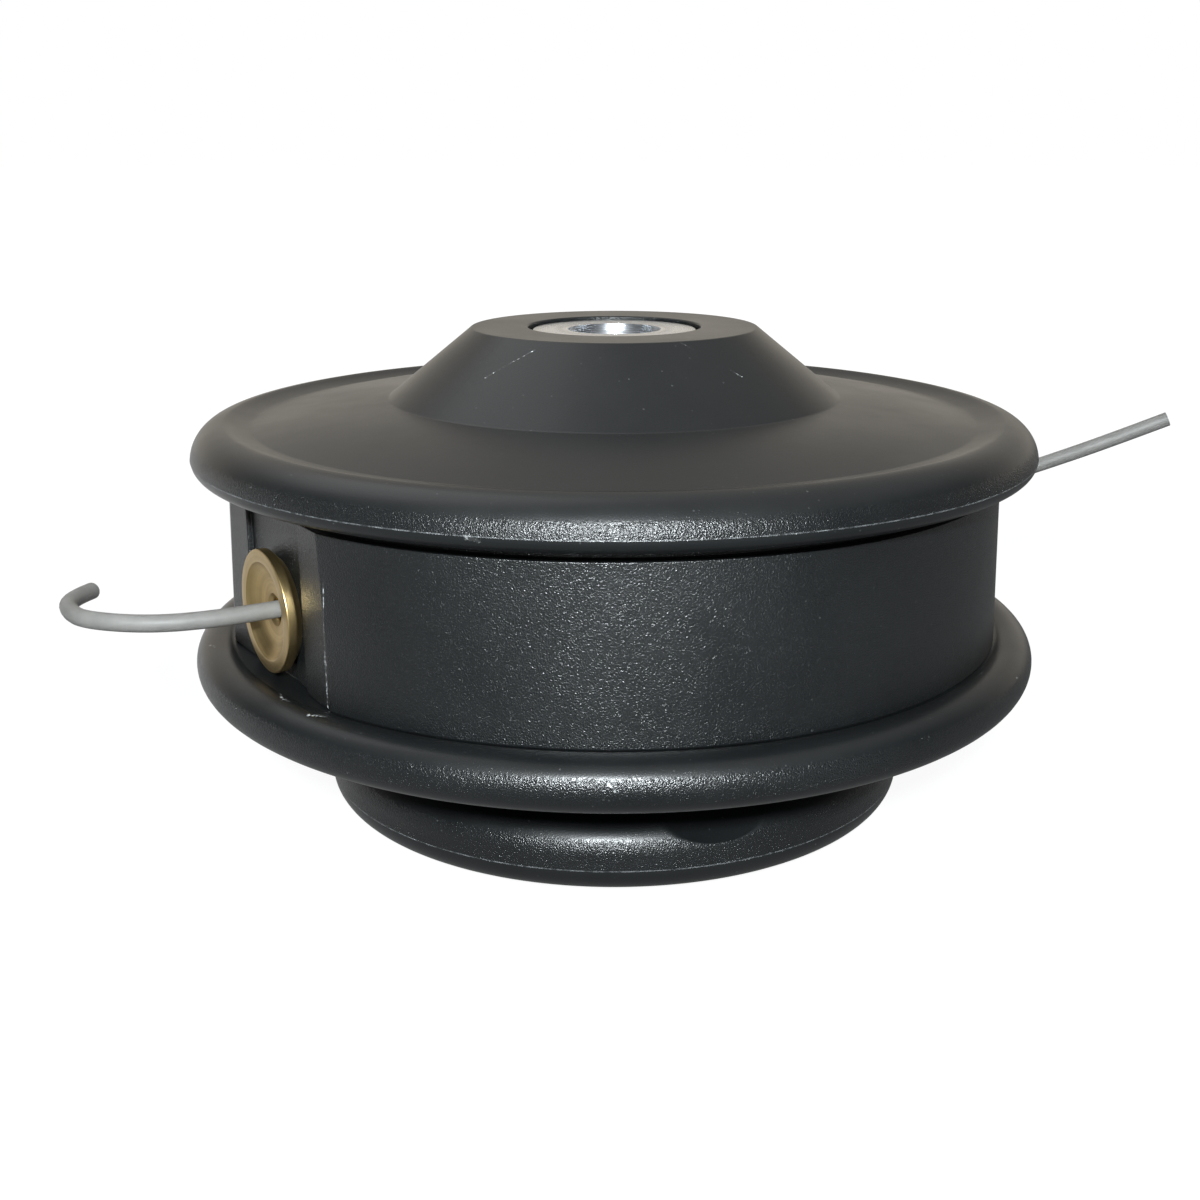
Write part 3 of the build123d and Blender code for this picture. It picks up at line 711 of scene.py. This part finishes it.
aluminium = turned_metal(
    "turned aluminium", (0.5, 0.51, 0.53), (0.76, 0.79, 0.83), 0.24, (0, 0, 0), (0, 0, 1),
)
spring_steel = plain_steel("spring steel", (0.42, 0.42, 0.43), 0.35)
zinc_steel = plain_steel("zinc steel", (0.6, 0.61, 0.62), 0.3)
line_nylon = milky_nylon("milky nylon", (0.17, 0.165, 0.156), (0.145, 0.141, 0.133))


def outward(angle):
    """Unit vector on the ground plane at an angle."""
    return Vector((cos(radians(angle)), sin(radians(angle)), 0))


def brass_for(name, angle):
    """Turned brass about one exit's axis."""
    centre = outward(angle) * FACE * MM + Vector((0, 0, EXIT_HEIGHT * MM))
    return turned_metal(
        name, (0.36, 0.26, 0.115), (0.58, 0.43, 0.205), 0.34,
        tuple(centre), tuple(outward(angle)), rings=7000.0, depth=0.00001,
    )


# Upper housing

def spaced(points):
    """Add points along the three long stretches between a flat's softened corners."""
    result = list(points)
    for place_of, count in ((25, 5), (15, 15), (5, 5)):
        before, after = points[place_of - 1], points[place_of]
        result[place_of:place_of] = [
            tuple(a + (b - a) * (index + 1) / (count + 1) for a, b in zip(before, after))
            for index in range(count)
        ]
    return result


def wall_ring(radius, height, face, floor=None):
    """Closed ring of the wall at one height, flat at both exits, and grooved if it has a floor."""
    reach = sqrt(radius**2 - face**2)
    corner_angle = degrees(atan2(reach, face))
    beyond = radians(corner_angle + 2)
    if floor is None:
        flat = [
            (face, reach * (2 * index / (FLAT_POINTS - 1) - 1)) for index in range(FLAT_POINTS)
        ]
    else:
        flat = spaced(soften([
            (radius * cos(beyond), -radius * sin(beyond)),
            (face, -reach, 1.5),
            (face, -GROOVE_HALF, 0.3),
            (floor, -GROOVE_HALF + 0.03, 0.2),
            (floor, GROOVE_HALF - 0.03, 0.2),
            (face, GROOVE_HALF, 0.3),
            (face, reach, 1.5),
            (radius * cos(beyond), radius * sin(beyond)),
        ], closed=False, steps=4)[1:-1])
    start = abs(degrees(atan2(flat[-1][1], flat[-1][0])))
    sweep = [
        radians(start + (90 - start) * (index + 1) / (ARC_POINTS + 1))
        for index in range(ARC_POINTS)
    ]
    first = [(radius * cos(angle), -radius * sin(angle)) for angle in reversed(sweep)]
    last = [(radius * cos(angle), radius * sin(angle)) for angle in sweep]
    half = first + flat + last
    turn = radians(EXIT_ANGLE)
    return [
        Vector((x * cos(turn) - y * sin(turn), x * sin(turn) + y * cos(turn), height))
        for x, y in half + [(-x, -y) for x, y in half]
    ]


def fan_ring(radius, height, like):
    """Round ring whose points lie on the same rays as another ring's."""
    lift = Vector((0, 0, height))
    return [Vector((point.x, point.y, 0)).normalized() * radius + lift for point in like]


def prism(name, near, far):
    """Solid between two like outlines of points, in millimetres."""
    mesh = bmesh.new()
    ends = [[mesh.verts.new(point * MM) for point in outline] for outline in (near, far)]
    mesh.faces.new(ends[0])
    mesh.faces.new(ends[1])
    count = len(near)
    for index in range(count):
        following = (index + 1) % count
        mesh.faces.new((ends[0][index], ends[0][following], ends[1][following], ends[1][index]))
    bmesh.ops.recalc_face_normals(mesh, faces=mesh.faces)
    return settle(name, mesh)


def at_exit(turn, distance, across, height):
    """Point at a distance outward along an exit's axis, and across it."""
    angle = radians(EXIT_ANGLE + turn)
    return Vector((
        distance * cos(angle) - across * sin(angle),
        distance * sin(angle) + across * cos(angle),
        height,
    ))


def slot_tool(turn, half_width, near, far, top, bottom):
    """Solid for a round-topped slot through the wall along one exit's axis."""
    rounded = arc((0, top), half_width, 0, 180, 20)
    outline = [(half_width, bottom)] + rounded + [(-half_width, bottom)]
    return prism("slot tool", *(
        [at_exit(turn, distance, across, height) for across, height in outline]
        for distance in (near, far)
    ))


def make_upper_housing():
    """Hollow cone, dished flange and skirt wall, with the flats and slots of the exits."""
    wall, top = WALL_TOP
    deep = GROOVE_DEPTH
    steps = [
        # Rounded foot of the wall
        (WALL_FOOT[0], 0.45, WALL_FOOT[1]),
        (WALL_FOOT[0], 0.22, WALL_FOOT[1] + 0.06),
        (WALL_FOOT[0], 0.07, WALL_FOOT[1] + 0.2),
        (WALL_FOOT[0], 0.0, WALL_FOOT[1] + 0.45),
        # Its top edge
        (wall, 0, top - 0.12),
        (wall, 0.05, top - 0.03),
        (wall, 0.15, top),
        # Groove under the flange
        (wall, deep - 0.2, top),
        (wall, deep, top + 0.2),
        (wall, deep, FLANGE_FOOT - 0.5),
        (wall, deep - 0.07, FLANGE_FOOT - 0.25),
        (wall, deep - 0.25, FLANGE_FOOT - 0.07),
        (wall, deep - 0.5, FLANGE_FOOT),
        (wall, 0.0, FLANGE_FOOT),
    ]
    rows = [
        wall_ring(radius - inset, height, FACE - inset, GROOVE_FLOOR - inset)
        for radius, inset, height in steps
    ]
    like = rows[-1]
    outside = soften([
        *arc((62.9, FLANGE_HEIGHT), 2.05, -90, -2, 9),
        (65.0, FLANGE_HEIGHT - 0.05),
        (64.97, FLANGE_HEIGHT + 0.07),
        *arc((59.65, FLANGE_HEIGHT - 0.56), 5.36, 6.8, 90, 18),
        *bow((59.65, 61.8), (56.0, 60.95), 0.12, 5)[1:-1],
        (56.0, 60.95, 2.0),
        *bow((56.0, 60.9), (35.1, 64.2), -0.35, 10)[2:-1],
        (35.1, 64.2, 0.8),
        (22.1, TOP_FACE, 0.55),
        (13.4, TOP_FACE, 0.3),
        (13.4, 71.0),
        (9.1, 71.0),
        (9.1, 57.2),
        (17.0, 57.2),
        (17.0, 70.5),
        (21.9, 70.5, 1.0),
        (32.96, 61.55, 1.0),
        (36.0, 60.2),
        (49.0, 57.2),
        (55.1, 57.2),
    ], closed=False)
    rows += [fan_ring(radius, height, like) for radius, height in outside]
    for height in (55.7, WALL_FOOT[1]):
        rows.append(wall_ring(56.6, height, PAD))
    shell = skin("housing_shell", rows)
    tools = [slot_tool(turn, SLOT_HALF, PAD - 3, 66, EXIT_HEIGHT, 27.0) for turn in (0, 180)]
    return carve(shell, tools)


place(make_upper_housing(), "head", "housing_plastic", housing_black, "upper_housing")


# Arbor insert

def make_arbor_insert():
    """Aluminium disc with its polished bowl, collar and spindle."""
    profile = soften([
        (0, INSERT_FACE - 26),
        (4.4, INSERT_FACE - 24),
        (4.4, 71.4, 0.8),
        *arc((7.2 - 5.6, 74.9), 5.65, -35, -7, 8),
        (7.35, INSERT_FACE, 0.12),
        (12.7, INSERT_FACE, 0.25),
        (12.7, 71.0, 0.2),
        (10.9, 71.0),
        (10.9, 60.0),
        (9.0, 60.0),
        (9.0, 28.2, 0.4),
        (5.2, 28.2, 0.3),
        (5.2, 38.0),
        (0, 38.0),
    ], closed=False)
    return turned("insert_turned", profile, 256, closed=False)


place(make_arbor_insert(), "head", "aluminium", aluminium, "arbor_insert")


# Line eyelets

def make_eyelet(name, turn):
    """Turned eyelet: dished face with a flared hole, bevelled back, neck and inner flange."""
    profile = soften([
        (1.6, 52.8, 0.2),
        (2.5, 51.9, 0.2),
        (6.6, 51.9, 0.2),
        (6.6, 53.4, 0.2),
        (4.5, 53.4),
        (4.5, 56.72),
        (7.6, 56.72, 0.15),
        (8.9, 57.95, 0.15),
        (8.9, 59.3, 0.22),
        (7.1, 59.3, 0.2),
        *bow((6.9, 59.05), (2.4, 57.7), 0.55, 10),
        (1.75, 57.2, 0.5),
        (1.6, 56.4),
    ])
    spins = [2 * pi * index / EYELET_STEPS for index in range(EYELET_STEPS)]
    return skin(name, [
        [
            at_exit(turn, distance, radius * cos(spin), EXIT_HEIGHT + radius * sin(spin))
            for spin in spins
        ]
        for radius, distance in profile
    ])


for side, turn in (("left", 0), ("right", 180)):
    place(
        make_eyelet(f"eyelet_turned_{side}", turn),
        "head",
        "brass",
        brass_for(f"turned brass {side}", EXIT_ANGLE + turn),
        f"eyelet_{side}",
    )


# Lower cover

def cylinder_tool(centre, radius, low, high):
    """Round cutting tool, standing upright."""
    angles = [2 * pi * index / TOOL_STEPS for index in range(TOOL_STEPS)]
    return prism("round tool", *(
        [
            Vector((centre.x + radius * cos(angle), centre.y + radius * sin(angle), height))
            for angle in angles
        ]
        for height in (low, high)
    ))


def make_lower_cover():
    """Ring with a rounded rim that closes the skirt wall, counterbored below for four screws."""
    profile = soften([
        (38.0, 21.5, 0.5),
        (62.0, 21.5),
        *arc((62.6, 25.3), 3.8, -90, 122.6, 26),
        (56.3, 28.5, 0.2),
        (56.3, 31.0, 0.4),
        (54.5, 31.0, 0.4),
        (54.5, 24.5, 0.6),
        (38.0, 24.5, 0.4),
    ])
    cover = turned("cover_shell", profile)
    tools = []
    for index in range(4):
        centre = outward(EXIT_ANGLE + 45 + 90 * index) * SCREW_CIRCLE
        tools.append(cylinder_tool(centre, COUNTERBORE_RADIUS, 20.0, 24.5))
    return carve(cover, tools)


place(make_lower_cover(), "head", "housing_plastic", cover_black, "lower_cover")


# Tap knob

SCALLOP_COUNT = 4
SCALLOP_ANGLE = -71.0
SCALLOP_RADIUS = 26.0
SCALLOP_FLOOR = 7.9
SCALLOP_RISE = 30.0
SCALLOP_EDGE = 0.45
KNOB_RADIUS = 46.6
KNOB_COLUMNS = 720
UNDERSIDE_SLOPE = 5.0


def scalloped(point):
    """Lower a point of the knob's shoulder into the finger scallops, with a soft edge."""
    height = point.z
    for index in range(SCALLOP_COUNT):
        angle = radians(SCALLOP_ANGLE + 360 / SCALLOP_COUNT * index)
        along = point.x * cos(angle) + point.y * sin(angle)
        across = -point.x * sin(angle) + point.y * cos(angle)
        if along < 30 or abs(across) >= SCALLOP_RADIUS - 0.1:
            continue
        rise = radians(SCALLOP_RISE)
        centre = SCALLOP_FLOOR + SCALLOP_RADIUS / cos(rise) + (KNOB_RADIUS - along) * tan(rise)
        floor = centre - sqrt(SCALLOP_RADIUS**2 - across**2) / cos(rise)
        share = max(0.0, min(1.0, 0.5 + 0.5 * (floor - height) / SCALLOP_EDGE))
        height = floor * (1 - share) + height * share
        height -= SCALLOP_EDGE * share * (1 - share) * 0.5
    return Vector((point.x, point.y, height))


def make_tap_knob():
    """Hollow knob: flat middle, rounded edge, scalloped shoulder and neck."""
    slope = radians(UNDERSIDE_SLOPE)
    edge = (42.8 + 3.8 * sin(slope), 4.8 - 3.8 * cos(slope))
    flat = edge[0] - edge[1] / tan(slope)
    shoulder = [
        (KNOB_RADIUS, 4.8),
        (KNOB_RADIUS, 5.5),
        (KNOB_RADIUS, 6.3),
        *arc((42.1, 7.0), 4.5, 0, 90, 22),
        *arc((42.1, 17.1), 5.6, -90, -180, 24)[1:],
        (36.5, 20.0),
        (36.5, 27.2),
    ]
    inside = [
        (33.3, 27.2),
        (33.3, 11.0),
        (42.3, 4.4, 0.6),
        (42.0, 3.4),
        (16.5, 3.4),
        (16.5, 8.0),
        (16.5, 27.2),
        (12.8, 27.2),
        (12.8, 11.5),
        (4.2, 11.5),
        (4.2, 8.0, 0.2),
        (8.0, 8.0, 0.3),
        (8.0, 0.0, 0.4),
    ]
    base = [(flat, 0.0), *arc((42.8, 4.8), 3.8, -85, 0, 14)[:-1]]
    outline = soften(inside + base, closed=False)
    rows = turned_rows(outline + shoulder, KNOB_COLUMNS)
    first = len(outline)
    for number in range(first, len(rows)):
        if rows[number][0].z < 22:
            rows[number] = [scalloped(point) for point in rows[number]]
    return skin("knob_shell", rows)


place(make_tap_knob(), "spool_and_knob", "knob_plastic", knob_black, "tap_knob")


# Spring


def make_spring_coil():
    """Copy of the spring's solid."""
    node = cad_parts["spring"]
    coil = bpy.data.objects.new("spring_coil", node.data.copy())
    bpy.context.scene.collection.objects.link(coil)
    coil.matrix_world = node.matrix_world
    place(coil, "head", "spring_steel", spring_steel, "spring")
    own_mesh(coil)


make_spring_coil()


# Free line ends

LINE = 2.5
LEFT_ROUTE = (
    (-42.7, -28.3, 38.4),
    (-50.2, -33.2, 38.4),
    (-58.2, -38.2, 38.6),
    (-65.1, -39.6, 38.7),
    (-72.4, -39.0, 39.1),
    (-76.4, -34.0, 38.6),
    (-79.4, -26.8, 38.2),
    (-78.2, -19.7, 37.6),
)
RIGHT_ROUTE = (
    (42.7, 28.3, 38.4),
    (50.2, 33.2, 38.4),
    (59.6, 37.6, 39.3),
    (69.4, 35.8, 42.4),
    (78.8, 32.8, 46.5),
    (88.4, 30.4, 50.7),
    (98.1, 28.6, 55.1),
)


def make_line(side, route):
    """Free end of line along a smooth curve that has the route's points as its controls."""
    data = bpy.data.curves.new(f"line_{side}", "CURVE")
    data.dimensions = "3D"
    spline = data.splines.new("NURBS")
    spline.points.add(len(route) - 1)
    for point, place_of in zip(spline.points, route):
        point.co = (*(value * MM for value in place_of), 1)
    spline.order_u = 3
    spline.use_endpoint_u = True
    spline.resolution_u = 14
    data.bevel_depth = LINE / 2 * MM
    data.bevel_resolution = 8
    data.use_fill_caps = True
    piece = bpy.data.objects.new(f"line_{side}", data)
    bpy.context.scene.collection.objects.link(piece)
    place(piece, "head", "nylon_line", line_nylon, f"line_end_{side}")


make_line("left", LEFT_ROUTE)
make_line("right", RIGHT_ROUTE)


# The other nodes keep their solids and get their finishes

for material, nodes in (
    (spring_steel, ("insert_retaining_ring", "spring_top_washer", "spring_seat")),
    (zinc_steel, ("cover_screws", "knob_bolt", "knob_washer", "hub_nut")),
    (spool_black, ("spool",)),
    (line_nylon, ("winding_lower", "winding_upper")),
):
    for node in nodes:
        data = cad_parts[node].data
        data.materials.clear()
        data.materials.append(material)
